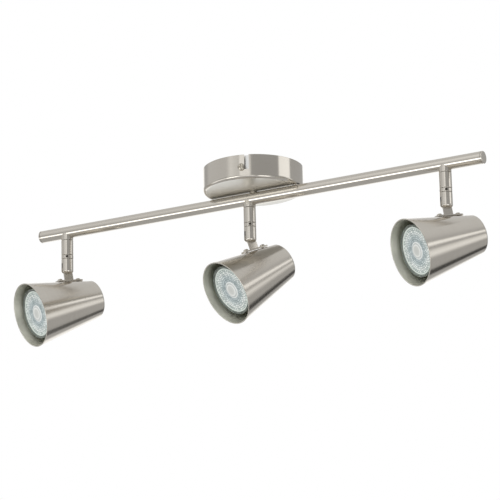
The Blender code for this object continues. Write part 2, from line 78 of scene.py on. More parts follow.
def add_node(tree: bpy.types.NodeTree, kind: str, links: dict[Any, Any], **settings: Any) -> bpy.types.Node:
    """Adds one node with its settings, socket values and incoming links.

    Args:
        tree: the node tree that gets the node.
        kind: the node's type name.
        links: for each input, by name or number, a value to set or an output socket to link.
        **settings: attributes of the node.

    Returns:
        The new node.
    """
    node = tree.nodes.new(kind)
    for name, value in settings.items():
        setattr(node, name, value)
    for socket, value in links.items():
        if isinstance(value, bpy.types.NodeSocket):
            tree.links.new(value, node.inputs[socket])
        else:
            node.inputs[socket].default_value = value
    return node


def maths(tree: bpy.types.NodeTree, operation: str, *values: Any) -> Any:
    """Adds one Math node and returns its output socket."""
    return add_node(tree, "ShaderNodeMath", dict(enumerate(values)), operation=operation).outputs[0]


def noise(tree: bpy.types.NodeTree, place: Any, scale: float, detail: float, rough: float = 0.5) -> Any:
    """Adds noise over a place and returns its value's socket."""
    links = {"Vector": place, "Scale": scale, "Detail": detail, "Roughness": rough}
    return add_node(tree, "ShaderNodeTexNoise", links).outputs[0]


def object_place(tree: bpy.types.NodeTree) -> Any:
    """Adds the place on the object in metres and returns its socket."""
    return add_node(tree, "ShaderNodeTexCoord", {}).outputs["Object"]


def ramp(tree: bpy.types.NodeTree, value: Any, stops: Sequence[tuple[float, str]]) -> Any:
    """Adds a colour ramp and returns its colour's socket.

    Args:
        tree: the node tree that gets the ramp.
        value: the socket that it reads.
        stops: position and sRGB hex colour of each stop, in order.

    Returns:
        The colour's socket.
    """
    node = add_node(tree, "ShaderNodeValToRGB", {"Fac": value})
    elements = node.color_ramp.elements
    while len(elements) < len(stops):
        elements.new(0.5)
    for element, (position, code) in zip(elements, stops):
        element.position = position
        element.color = linear(code)
    return node.outputs[0]


class Finish:
    """A surface finish, which makes its material once and then hands out the same one."""

    name: str
    roughness: float

    def material(self) -> bpy.types.Material:
        """Returns the finish's material, made on first use."""
        found = bpy.data.materials.get(self.name)
        if found:
            return found
        made = bpy.data.materials.new(self.name)
        made.use_nodes = True
        tree = made.node_tree
        tree.nodes.clear()
        shader = add_node(tree, "ShaderNodeBsdfPrincipled", self.sockets(tree))
        add_node(tree, "ShaderNodeOutputMaterial", {"Surface": shader.outputs[0]})
        return made

    def sockets(self, tree: bpy.types.NodeTree) -> dict[str, Any]:
        """Builds the textures and says what the shader's sockets take; each finish has its own."""
        raise NotImplementedError

    def gloss(self, tree: bpy.types.NodeTree, grain: Any, less: float, more: float) -> dict[str, Any]:
        """Lets the roughness wander with a grain, by so much less and more than the finish's own."""
        links = {"Value": grain, "To Min": self.roughness - less, "To Max": self.roughness + more}
        return {"Roughness": add_node(tree, "ShaderNodeMapRange", links).outputs[0]}

    def relief(self, tree: bpy.types.NodeTree, grain: Any, strength: float, depth: float) -> dict[str, Any]:
        """Raises the surface with a grain, by a depth in millimetres."""
        links = {"Strength": strength, "Distance": depth * MM, "Height": grain}
        return {"Normal": add_node(tree, "ShaderNodeBump", links).outputs[0]}


@dataclass(frozen=True)
class SpunNickel(Finish):
    """Satin nickel plate over spun or drawn steel, brushed round its axis.

    It gives the eye a warm grey metal whose reflections stay sharp round the axis and smear along it, under
    fine scratches. The scratches are a few hundredths of a millimetre apart on the real plate; they are drawn
    about half a millimetre apart so that they show.
    """

    name: str = "satin_nickel_plate_brushed"
    colour: str = "D8D3CA"
    shade: str = "D0CAC0"
    roughness: float = 0.19
    spread: float = 0.65
    scratch_strength: float = 0.012
    scratch_spacing_mm: float = 0.5
    scratch_length_mm: float = 18.0

    def sockets(self, tree: bpy.types.NodeTree) -> dict[str, Any]:
        """Brushed metal: noise stretched in the surface's own millimetres, with slow clouds in its tone."""
        surface = add_node(tree, "ShaderNodeUVMap", {}, uv_map="surface").outputs[0]
        stretch = (1.0 / self.scratch_length_mm, 1.0 / self.scratch_spacing_mm, 1.0)
        along = add_node(tree, "ShaderNodeMapping", {"Vector": surface, "Scale": stretch}).outputs[0]
        scratches = noise(tree, along, 1.0, 3.0, 0.6)
        both = maths(tree, "MULTIPLY_ADD", noise(tree, object_place(tree), 22.0, 2.0), 0.35, scratches)
        tangent = add_node(tree, "ShaderNodeTangent", {}, direction_type="UV_MAP", uv_map="surface")
        return {
            "Base Color": ramp(tree, both, ((0.42, self.shade), (0.82, self.colour))),
            "Metallic": 1.0,
            "Anisotropic": self.spread,
            "Anisotropic Rotation": 0.25,
            "Tangent": tangent.outputs[0],
            **self.gloss(tree, scratches, 0.03, 0.03),
            **self.relief(tree, scratches, self.scratch_strength, 0.02),
        }


@dataclass(frozen=True)
class WornMetal(Finish):
    """A plated or bare metal without a brushing direction, for turned, pressed and stamped small parts.

    It gives the eye an even metal with faint mottling, and a little wear that makes it smoother in places.
    """

    name: str
    colour: str
    shade: str
    roughness: float = 0.28
    mottle_mm: float = 2.0

    def sockets(self, tree: bpy.types.NodeTree) -> dict[str, Any]:
        """Mottled metal: noise a couple of millimetres across drives colour, roughness and a slight bump."""
        mottle = noise(tree, object_place(tree), 1.0 / (self.mottle_mm * MM), 4.0)
        return {
            "Base Color": ramp(tree, mottle, ((0.3, self.shade), (0.7, self.colour))),
            "Metallic": 1.0,
            **self.gloss(tree, mottle, 0.08, 0.08),
            **self.relief(tree, mottle, 0.15, 0.04),
        }


@dataclass(frozen=True)
class Moulding(Finish):
    """A moulded, fired or painted pale body: nylon for the terminal block, steatite for the lamp holders.

    It gives the eye a white that isn't quite even, with a fine grain in its gloss.
    """

    name: str
    colour: str
    shade: str
    roughness: float
    ior: float
    grain_mm: float = 0.6

    def sockets(self, tree: bpy.types.NodeTree) -> dict[str, Any]:
        """White body: grain noise for gloss and bump, slow noise for the tone."""
        place = object_place(tree)
        grain = noise(tree, place, 1.0 / (self.grain_mm * MM), 3.0)
        cloud = noise(tree, place, 90.0, 2.0)
        return {
            "Base Color": ramp(tree, cloud, ((0.35, self.shade), (0.65, self.colour))),
            "IOR": self.ior,
            **self.gloss(tree, grain, 0.06, 0.06),
            **self.relief(tree, grain, 0.2, 0.05),
        }


@dataclass(frozen=True)
class PressedGlass(Finish):
    """Clear pressed glass of the lamp's shell, backed by its own white inside.

    It gives the eye a grey-green rim that shows bright and dark rings where it turns away.
    """

    name: str = "pressed_glass_clear"
    colour: str = "DDE4DD"
    shade: str = "CBD4CC"
    roughness: float = 0.06

    def sockets(self, tree: bpy.types.NodeTree) -> dict[str, Any]:
        """Partly clear glass with slow ripples from the mould."""
        ripple = noise(tree, object_place(tree), 160.0, 2.0)
        return {
            "Base Color": ramp(tree, ripple, ((0.35, self.shade), (0.65, self.colour))),
            "IOR": 1.5,
            "Transmission Weight": 0.55,
            **self.gloss(tree, ripple, 0.03, 0.05),
            **self.relief(tree, ripple, 0.2, 0.1),
        }


@dataclass(frozen=True)
class RingedPlastic(Finish):
    """Moulded clear acrylic, or the printed board behind it, whose tone changes outwards from its centre.

    It gives the eye a bluish white field of lenslets round a greyer zone and a warm white centre. Each
    lenslet has a painted highlight on its top and painted shade in its valley, and the lens has a faint
    painted glow of its own, which stands in for the light that it would gather from the reflector behind it.
    """

    name: str
    stops: tuple[tuple[float, str], ...]
    rim_mm: float
    roughness: float
    ior: float
    clear: float
    speckle: float
    painted_valley_shade: str = "FFFFFF"
    painted_glow: float = 0.0

    def sockets(self, tree: bpy.types.NodeTree) -> dict[str, Any]:
        """Bands by the second surface coordinate, which is the distance from the centre in millimetres."""
        surface = add_node(tree, "ShaderNodeUVMap", {}, uv_map="surface").outputs[0]
        dome, distance = add_node(tree, "ShaderNodeSeparateXYZ", {0: surface}).outputs[:2]
        flecks = noise(tree, object_place(tree), 700.0, 3.0)
        share = add_node(tree, "ShaderNodeMapRange", {"Value": distance, "From Max": self.rim_mm}).outputs[0]
        bands = ramp(tree, maths(tree, "MULTIPLY_ADD", flecks, self.speckle, share), self.stops)
        # Painted highlight and shade: each lenslet's top is painted white and its valley in the valley colour
        painted_lenslet_highlight = ramp(tree, dome, ((0.0, self.painted_valley_shade), (0.5, "FFFFFF")))
        mixed = {0: 1.0, 6: bands, 7: painted_lenslet_highlight}
        tone = add_node(tree, "ShaderNodeMix", mixed, data_type="RGBA", blend_type="MULTIPLY").outputs[2]
        return {
            "Base Color": tone,
            "IOR": self.ior,
            "Transmission Weight": self.clear,
            # Painted glow: the lens shines with its own tone, though it is no lamp
            "Emission Color": tone,
            "Emission Strength": self.painted_glow,
            **self.gloss(tree, flecks, 0.03, 0.05),
        }


# The shades are brushed the most. Tube, arms and canopy wall are finer; the canopy's flat face is rougher.
NICKEL = SpunNickel()
BRIGHT_NICKEL = SpunNickel(
    "satin_nickel_plate_bright", roughness=0.14, spread=0.5, scratch_strength=0.006
)
FACED_NICKEL = SpunNickel(
    "satin_nickel_plate_flat_brushed", "DEDCD6", "D6D4CE", roughness=0.34, spread=0.3, scratch_strength=0.002
)
# Inside the shades the plate is rougher, and its colour is painted lighter than outside, which paints in
# light on the inner wall.
INSIDE_NICKEL = SpunNickel("nickel_plate_as_drawn", "F4F2E8", "EAE8DC", roughness=0.5, spread=0.0)
# The notches are painted a dark steel grey: painted shade in the recesses.
PAINTED_NOTCH_SHADE = WornMetal("painted_shade_in_notch", "6A665F", "54514B", 0.5)
SCREW_NICKEL = WornMetal("nickel_plated_screw_steel", "CFC9BD", "B4AD9F", 0.24)
ZINC = WornMetal("zinc_plated_steel_strip", "F2F2F0", "E4E4E2", 0.35, 6.0)
BRASS = WornMetal("turned_brass", "D9BE7E", "B4955A", 0.26)
PIN_ALUMINIUM = WornMetal("turned_aluminium_pin", "D6D7D8", "B9BABC", 0.24)
NYLON = Moulding("moulded_white_nylon", "E9E9E5", "DAD9D4", 0.42, 1.53)
STEATITE = Moulding("fired_steatite_ceramic", "ECE9E0", "DDD8CB", 0.5, 1.6, 0.4)
FLOOR_PAINT = Moulding("matt_pale_floor_paint", "F1F1EF", "EBEBE8", 0.7, 1.5, 8.0)
GLASS = PressedGlass()
# The lens's lenslets get a painted highlight on their tops and painted shade in their valleys, and the lens a
# faint painted glow
ACRYLIC = RingedPlastic(
    name="moulded_clear_acrylic_lens",
    stops=(
        (0.0, "CDCFCB"),
        (0.2, "D6D8D4"),
        (0.27, "F2F3F0"),
        (0.31, "BCC2C0"),
        (0.36, "F2F4F2"),
        (0.42, "C9D2D4"),
        (0.6, "DBE3E3"),
        (0.78, "F8FAF7"),
        (1.0, "DCE3DD"),
    ),
    rim_mm=23.3,
    roughness=0.08,
    ior=1.49,
    clear=0.1,
    speckle=0.04,
    painted_valley_shade="A4AFB0",
    painted_glow=0.26,
)
LED_BOARD = RingedPlastic(
    name="white_printed_board_and_phosphor",
    stops=((0.0, "FFFBEC"), (0.3, "FCF6E4"), (0.4, "C9D5DE"), (0.6, "D3DEE5"), (1.0, "F2F6F6")),
    rim_mm=18.0,
    roughness=0.35,
    ior=1.5,
    clear=0.0,
    speckle=0.02,
)


# ------------------------------------------------------------------------------------ shape making


@dataclass(frozen=True)
class Axes:
    """A set of axes somewhere on the object: an origin in metres and three unit directions as columns."""

    origin: np.ndarray
    turn: np.ndarray

    @staticmethod
    def of(origin: Sequence[float], x: Sequence[float], z: Sequence[float]) -> "Axes":
        """Builds axes from an origin, a first direction and a third one square to it."""
        first, third = (np.array(v, float) / np.linalg.norm(v) for v in (x, z))
        return Axes(np.array(origin, float), np.column_stack((first, np.cross(third, first), third)))

    @staticmethod
    def facing(origin: Sequence[float], degrees: float) -> "Axes":
        """Builds upright axes whose X points outwards at an angle round the vertical."""
        angle = math.radians(degrees)
        return Axes.of(origin, (math.cos(angle), math.sin(angle), 0.0), (0.0, 0.0, 1.0))

    def place(self, points: np.ndarray) -> np.ndarray:
        """Carries points in millimetres in these axes to metres in the frame."""
        return self.origin + points @ self.turn.T * MM

    def moved(self, x: float = 0.0, y: float = 0.0, z: float = 0.0) -> "Axes":
        """Returns the same directions, with the origin moved by millimetres along them."""
        return Axes(self.place(np.array((x, y, z))), self.turn)


WORLD = Axes(np.zeros(3), np.eye(3))


def let_in(
    corners: Sequence[Sequence[float]], closed: bool = False, steps: int = 5, hold: float = 0.1
) -> np.ndarray:
    """Draws a polyline with arcs let into its corners.

    Each corner with a fillet f is cut back along both runs by f over the tangent of half its angle. The arc
    between is the rational quadratic curve with the cosine of half the turn as its middle weight, which is a
    true circle. Each straight run also gets a point close to each end, which keeps its shading flat.

    Args:
        corners: first coordinate, second coordinate and fillet radius of each corner, in millimetres.
        closed: whether the last corner joins the first.
        steps: pieces that each arc is divided into.
        hold: distance of the shading points from the ends of a run.

    Returns:
        The points of the line, two columns; a closed line repeats its first point at its end.
    """
    table = np.array([tuple(c) + (0.0,) * (3 - len(c)) for c in corners], float)
    points, fillets = table[:, :2], table[:, 2]
    if not closed:
        fillets[[0, -1]] = 0.0
    back = np.roll(points, 1, axis=0) - points
    ahead = np.roll(points, -1, axis=0) - points
    back_length, ahead_length = np.linalg.norm(back, axis=1), np.linalg.norm(ahead, axis=1)
    back /= back_length[:, None]
    ahead /= ahead_length[:, None]
    half_angle = 0.5 * np.arccos(np.clip((back * ahead).sum(axis=1), -1.0, 1.0))
    cut = np.minimum(fillets / np.tan(half_angle), 0.49 * np.minimum(back_length, ahead_length))
    share = np.linspace(0.0, 1.0, steps + 1)[:, None]
    runs: list[np.ndarray] = []
    for i in range(len(points)):
        if cut[i] < 1e-6:
            runs.append(points[i : i + 1])
            continue
        start, end = points[i] + cut[i] * back[i], points[i] + cut[i] * ahead[i]
        weights = np.hstack(((1 - share) ** 2, 2 * math.sin(half_angle[i]) * share * (1 - share), share**2))
        runs.append(weights @ np.vstack((start, points[i], end)) / weights.sum(axis=1)[:, None])
    line: list[np.ndarray] = []
    for i, run in enumerate(runs):
        line.append(run)
        if i == len(runs) - 1 and not closed:
            break
        here, there = run[-1], runs[(i + 1) % len(runs)][0]
        length = float(np.linalg.norm(there - here))
        if length > 4.0 * hold:
            line.append(here + np.outer((hold, length - hold), (there - here) / length))
    if closed:
        line.append(runs[0][:1])
    return np.vstack(line)


def revolved(profile: np.ndarray, segments: int = 96, seam: float = 0.0) -> tuple[np.ndarray, np.ndarray]:
    """Turns a profile about the Z axis.

    A point at radius r and height z goes to (r cos a, r sin a, z) for each angle a. The surface coordinates
    are the distance round the widest circle and the distance along the profile, both in millimetres.

    Args:
        profile: radius and height of each point.
        segments: steps round the axis.
        seam: angle in degrees where the surface coordinates start.

    Returns:
        A grid of points, profile by angle, and its surface coordinates.
    """
    angles = np.radians(seam) + np.linspace(0.0, 2.0 * np.pi, segments + 1)
    radius, height = profile[:, :1], profile[:, 1:2]
    grid = np.stack((radius * np.cos(angles), radius * np.sin(angles), height + 0.0 * angles), axis=2)
    run = np.concatenate(([0.0], np.cumsum(np.linalg.norm(np.diff(profile, axis=0), axis=1))))
    around = (angles - angles[0]) * radius.max()
    surface = np.stack(np.broadcast_arrays(around[None, :], run[:, None]), axis=2)
    return grid, surface


def slab(outline: np.ndarray, low: float, high: float, edge: float) -> tuple[np.ndarray, np.ndarray]:
    """A flat plate with rounded edges, square to the Z axis.

    Rings of the outline climb from one face to the other. A ring at angle a of the rounding is drawn in by
    edge times (1 - cos a), along the outline's own normals, and both ends close at the middle point.

    Args:
        outline: closed outline, anticlockwise, its first point repeated at its end.
        low: height of the lower face.
        high: height of the upper face.
        edge: radius of the rounding.

    Returns:
        A grid of points and its surface coordinates.
    """
    ring = outline[:-1]
    along = np.roll(ring, -1, axis=0) - np.roll(ring, 1, axis=0)
    normal = np.column_stack((along[:, 1], -along[:, 0])) / np.linalg.norm(along, axis=1)[:, None]
    normal = np.vstack((normal, normal[:1]))
    turns = np.linspace(-90.0, 90.0, 9)
    inset = edge * (1.0 - np.cos(np.radians(turns)))
    height = np.where(turns <= 0.0, low + edge, high - edge) + edge * np.sin(np.radians(turns))
    inset = np.insert(inset, 5, 0.0)
    height = np.insert(height, 5, high - edge)
    flat = outline[None, :, :] - inset[:, None, None] * normal[None, :, :]
    middle = ring.mean(axis=0)
    hold = middle + 0.96 * (flat[[0, -1]] - middle)
    pole = np.broadcast_to(middle, outline.shape)
    flat = np.concatenate((pole[None], hold[:1], flat, hold[1:], pole[None]))
    height = np.concatenate(([low, low], height, [high, high]))
    grid = np.concatenate((flat, np.broadcast_to(height[:, None, None], flat.shape[:2] + (1,))), axis=2)
    return grid, grid[:, :, :2].copy()


def rounded_box(length: float, width: float, corner: float) -> np.ndarray:
    """Outline of a rectangle about the origin with rounded corners, anticlockwise."""
    a, b = 0.5 * length, 0.5 * width
    return let_in([(a, -b, corner), (a, b, corner), (-a, b, corner), (-a, -b, corner)], closed=True)


def mesh_of(name: str, axes: Axes, grid: np.ndarray, surface: np.ndarray) -> bpy.types.Mesh:
    """Makes a closed mesh from a grid of points whose last column repeats its first.

    Neighbouring points make four-sided faces; seams and poles are then merged, and the faces turned outwards.

    Args:
        name: name of the mesh.
        axes: axes that the grid is drawn in.
        grid: points in millimetres, rows by columns by three.
        surface: surface coordinates of the same points.

    Returns:
        The mesh, in the frame's metres.
    """
    rows, columns = grid.shape[:2]
    index = np.arange(rows * columns).reshape(rows, columns)
    faces = np.stack((index[:-1, :-1], index[:-1, 1:], index[1:, 1:], index[1:, :-1]), axis=2).reshape(-1, 4)
    mesh = bpy.data.meshes.new(name)
    mesh.from_pydata(axes.place(grid.reshape(-1, 3)), [], faces.tolist())
    layer = mesh.uv_layers.new(name="surface")
    layer.data.foreach_set("uv", surface.reshape(-1, 2)[faces.reshape(-1)].astype(np.float32).ravel())
    shell = bmesh.new()
    shell.from_mesh(mesh)
    bmesh.ops.remove_doubles(shell, verts=shell.verts, dist=1e-7)
    bmesh.ops.recalc_face_normals(shell, faces=shell.faces)
    if shell.calc_volume(signed=True) < 0.0:
        bmesh.ops.reverse_faces(shell, faces=shell.faces)
    shell.to_mesh(mesh)
    shell.free()
    return mesh


def turned(
    name: str, axes: Axes, corners: Sequence[Sequence[float]], closed: bool = False, **how: Any
) -> bpy.types.Mesh:
    """Makes a mesh turned about the axes' Z from rounded corners; see let_in and revolved."""
    profile = let_in(corners, closed, how.pop("steps", 5))
    return mesh_of(name, axes, *revolved(profile, **how))


def block(name: str, axes: Axes, low: Sequence[float], high: Sequence[float]) -> bpy.types.Mesh:
    """A plain box between two corners, used only to cut other pieces."""
    (x0, y0, z0), (x1, y1, z1) = low, high
    outline = np.array([(x0, y0), (x1, y0), (x1, y1), (x0, y1), (x0, y0)])
    middle = np.array([((x0 + x1) / 2, (y0 + y1) / 2)] * 5)
    rings = [(middle, z0), (outline, z0), (outline, z1), (middle, z1)]
    grid = np.stack([np.column_stack((ring, np.full(5, z))) for ring, z in rings])
    return mesh_of(name, axes, grid, grid[:, :, :2].copy())


def drill(axes: Axes, radius: float, low: float, high: float, segments: int = 24) -> bpy.types.Mesh:
    """A plain round bar along the axes' Z, used only to cut other pieces."""
    return turned("drill", axes, [(0, low), (radius, low), (radius, high), (0, high)], segments=segments)


class Cut(Enum):
    """What a Boolean does with its second shape."""

    AWAY = "DIFFERENCE"
    JOIN = "UNION"


def worked(mesh: bpy.types.Mesh, tools: Sequence[bpy.types.Mesh], cut: Cut = Cut.AWAY) -> bpy.types.Mesh:
    """Cuts shapes out of a mesh, or joins them to it.

    Args:
        mesh: the mesh to work on.
        tools: the shapes, in the same frame.
        cut: what to do with them.

    Returns:
        The worked mesh; the ones given are removed.
    """
    target = bpy.data.objects.new("blank", mesh)
    bpy.context.scene.collection.objects.link(target)
    helpers = []
    for tool in tools:
        helper = bpy.data.objects.new("tool", tool)
        bpy.context.scene.collection.objects.link(helper)
        helpers.append(helper)
        step = target.modifiers.new("cut", "BOOLEAN")
        step.operation, step.solver, step.object = cut.value, "EXACT", helper
    graph = bpy.context.evaluated_depsgraph_get()
    made = bpy.data.meshes.new_from_object(target.evaluated_get(graph))
    made.name = mesh.name
    for thing in [target, *helpers]:
        data = thing.data
        bpy.data.objects.remove(thing)
        bpy.data.meshes.remove(data)
    return made


def finished(
    name: str,
    mesh: bpy.types.Mesh,
    finish: Finish,
    body: str,
    stands_for: Sequence[str] = (),
    crease: float = 32.0,
) -> bpy.types.Object:
    """Puts a mesh in the scene as a piece of the object.

    Args:
        name: name of the piece.
        mesh: its mesh, in the frame's metres.
        finish: its surface.
        body: the body that it moves with.
        stands_for: CAD nodes that it replaces.
        crease: angle in degrees above which an edge stays sharp.

    Returns:
        The piece.
    """
    mesh.materials.clear()
    mesh.materials.append(finish.material())
    mesh.shade_smooth()
    mesh.set_sharp_from_angle(angle=math.radians(crease))
    piece = bpy.data.objects.new(name, mesh)
    mesh.name = name
    bpy.context.scene.collection.objects.link(piece)
    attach(piece, body)
    if stands_for:
        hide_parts(*stands_for)
    LOG.info("%s: %d faces on %s", name, len(mesh.polygons), body)
    return piece


def plated(name: str, mesh: bpy.types.Mesh, body: str, node: str) -> bpy.types.Object:
    """Puts a finely brushed piece in the scene in place of one CAD node."""
    return finished(name, mesh, BRIGHT_NICKEL, body, [node])


def fastened(name: str, mesh: bpy.types.Mesh, body: str, node: str) -> bpy.types.Object:
    """Puts a screw or pin in the scene in place of one CAD node."""
    return finished(name, mesh, SCREW_NICKEL, body, [node])


def refaced(
    piece: bpy.types.Object,
    axes: Axes,
    finish: Finish,
    chosen: Callable[[np.ndarray, np.ndarray], np.ndarray],
) -> None:
    """Gives some faces of a piece another finish.

    Args:
        piece: the piece.
        axes: axes that the faces are judged in.
        finish: their finish.
        chosen: from the faces' normals and their middles in millimetres, says which faces they are.
    """
    mesh = piece.data
    mesh.materials.append(finish.material())
    count = len(mesh.polygons)
    normal, middle = np.empty(count * 3, np.float32), np.empty(count * 3, np.float32)
    mesh.polygons.foreach_get("normal", normal)
    mesh.polygons.foreach_get("center", middle)
    here = (middle.reshape(-1, 3) - axes.origin) @ axes.turn / MM
    picked = chosen(normal.reshape(-1, 3) @ axes.turn, here)
    mesh.polygons.foreach_set("material_index", picked.astype(np.int32))
    LOG.info("%s: %d faces in %s", piece.name, int(picked.sum()), finish.name)


def pan_screw(
    name: str, axes: Axes, head: float, height: float, shank: float, length: float
) -> bpy.types.Mesh:
    """A low pan-headed screw that points along -Z from z = 0, with a cross recess.

    Args:
        name: name of the mesh.
        axes: axes with Z out of the head.
        head: radius of the head.
        height: height of the head.
        shank: radius of the shank.
        length: length of the shank.

    Returns:
        The screw's mesh.
    """
    corners = [
        (0.0, -length, 0.0),
        (shank, -length, 0.3),
        (shank, 0.0, 0.0),
        (head, 0.0, 0.1 * head),
        (head, 0.62 * height, 0.35 * height),
        (0.6 * head, height, 0.6 * height),
        (0.0, height, 0.0),
    ]
    screw = turned(name, axes, corners, segments=48)
    arm, half, floor = 0.56 * head, 0.12 * head, 0.4 * height
    sizes = ((arm, half), (half, arm))
    return worked(screw, [block("recess", axes, (-x, -y, floor), (x, y, height + 1.0)) for x, y in sizes])


# -------------------------------------------------------------------------------------- the object


@dataclass
class Canopy:
    """The round cover at the ceiling, its two side screws and the dressing of what it hides."""

    radius: float = 50.0
    height: float = 24.0
    wall: float = 1.0
    fillet: float = 3.2
    hole: float = 3.9
    fixing_degrees: float = -75.0
    slot_offset_degrees: float = 6.0
    slot_width: float = 4.4
    slot_end: float = 1.9
    fixing_z: float = -12.8
    screw_stand: float = 0.3
    facing_down: float = -0.98
    hidden: dict[str, Finish] = field(
        default_factory=lambda: {
            "mounting_bracket": ZINC,
            "centre_nipple": SCREW_NICKEL,
            "nipple_nut": ZINC,
            "earth_screw": BRASS,
            "terminal_block": NYLON,
        }
    )

    @property
    def fixings(self) -> dict[str, float]:
        """Angle of each side screw round the canopy."""
        return {"front": self.fixing_degrees, "rear": self.fixing_degrees + 180.0}

    def cup(self) -> bpy.types.Mesh:
        """The spun cup: wall, rounded lower edge and flat floor, with two bayonet slots open at the top.

        The leg comes down from the rim beside each screw, and the foot leads from it to the screw. The foot's
        lower side stands a hundredth higher, so that the two cuts never share a face.
        """
        r, b, w = self.radius, -self.height, self.wall
        corners = [
            (r, 0.0, 0.25),
            (r - w, 0.0, 0.25),
            (r - w, b + w, self.fillet - w),
            (self.hole, b + w, 0.2),
            (self.hole, b, 0.2),
            (r, b, self.fillet),
        ]
        cup = turned("canopy_shell", WORLD, corners, closed=True, segments=160, seam=118.0, steps=8)
        half, line, near, far = 0.5 * self.slot_width, self.fixing_z, r - 6.0, r + 6.0
        reach = r * math.radians(0.5 * self.slot_offset_degrees)
        tools = []
        for side in self.fixings.values():
            leg = Axes.facing(WORLD.origin, side + self.slot_offset_degrees)
            tools.append(block("leg", leg, (near, -half, line - half), (far, half, 2.0)))
            foot = Axes.facing(WORLD.origin, side + 0.5 * self.slot_offset_degrees)
            low = (near, -reach - self.slot_end, line - half + 0.01)
            tools.append(block("foot", foot, low, (far, reach, line + half)))
        return worked(cup, tools)

    def build(self) -> None:
        """Makes the cup and both side screws, and dresses the hidden fittings."""
        cup = plated("canopy_shell", self.cup(), "bar", "canopy")
        refaced(cup, WORLD, FACED_NICKEL, lambda normal, middle: normal[:, 2] < self.facing_down)
        for name, side in self.fixings.items():
            out = Axes.facing(WORLD.origin, side).turn[:, 0]
            seat = Axes.of(WORLD.origin, (0.0, 0.0, 1.0), out)
            seat = seat.moved(x=self.fixing_z, z=self.radius + self.screw_stand)
            screw = pan_screw("side_screw", seat, head=3.5, height=2.1, shank=1.7, length=7.5)
            fastened(f"side_screw_{name}", screw, "bar", f"canopy_screw_{name}")
        dress(self.hidden)


@dataclass
class Tube:
    """The straight bar and its two end caps."""

    radius: float = 6.25
    wall: float = 1.0
    half_length: float = 250.0
    cap: float = 1.5
    cap_edge: float = 1.2
    cap_plug: float = 5.0
    gap: float = 0.3
    axis_z: float = -30.75
    nipple_hole: float = 3.9
    stud_hole: float = 3.3
    arms_x: tuple[float, ...] = ()

    def axes(self, side: float = 1.0) -> Axes:
        """Axes on the tube's line with Z towards one end and X to the back, where the seam is hidden."""
        return Axes.of((0.0, 0.0, self.axis_z * MM), (0.0, 1.0, 0.0), (side, 0.0, 0.0))

    def build(self) -> None:
        """Makes the tube with its stud holes, and both caps."""
        end = self.half_length - self.cap - self.gap
        inner = self.radius - self.wall
        corners = [(self.radius, -end, 0.15), (self.radius, end, 0.15), (inner, end, 0.1), (inner, -end, 0.1)]
        tube = turned("bar_wall", self.axes(), corners, closed=True, segments=96, steps=3)
        upright = WORLD.moved(z=self.axis_z)
        near, far = 2.0, self.radius + 2.75
        tools = [drill(upright, self.nipple_hole, near, far, 32)]
        tools += [drill(upright.moved(x=x), self.stud_hole, -far, -near, 32) for x in self.arms_x]
        plated("bar_wall", worked(tube, tools), "bar", "bar_tube")
        plug = inner - self.gap
        seat = self.half_length - self.cap
        profile = [
            (0.0, seat - self.cap_plug, 0.0),
            (plug, seat - self.cap_plug, 0.3),
            (plug, seat, 0.0),
            (self.radius, seat, 0.1),
            (self.radius, self.half_length, self.cap_edge),
            (0.0, self.half_length, 0.0),
        ]
        for name, side in (("left", -1.0), ("right", 1.0)):
            cap = turned("cap", self.axes(side), profile, segments=72, steps=6)
            plated(f"bar_cap_{name}", cap, "bar", f"end_cap_{name}")


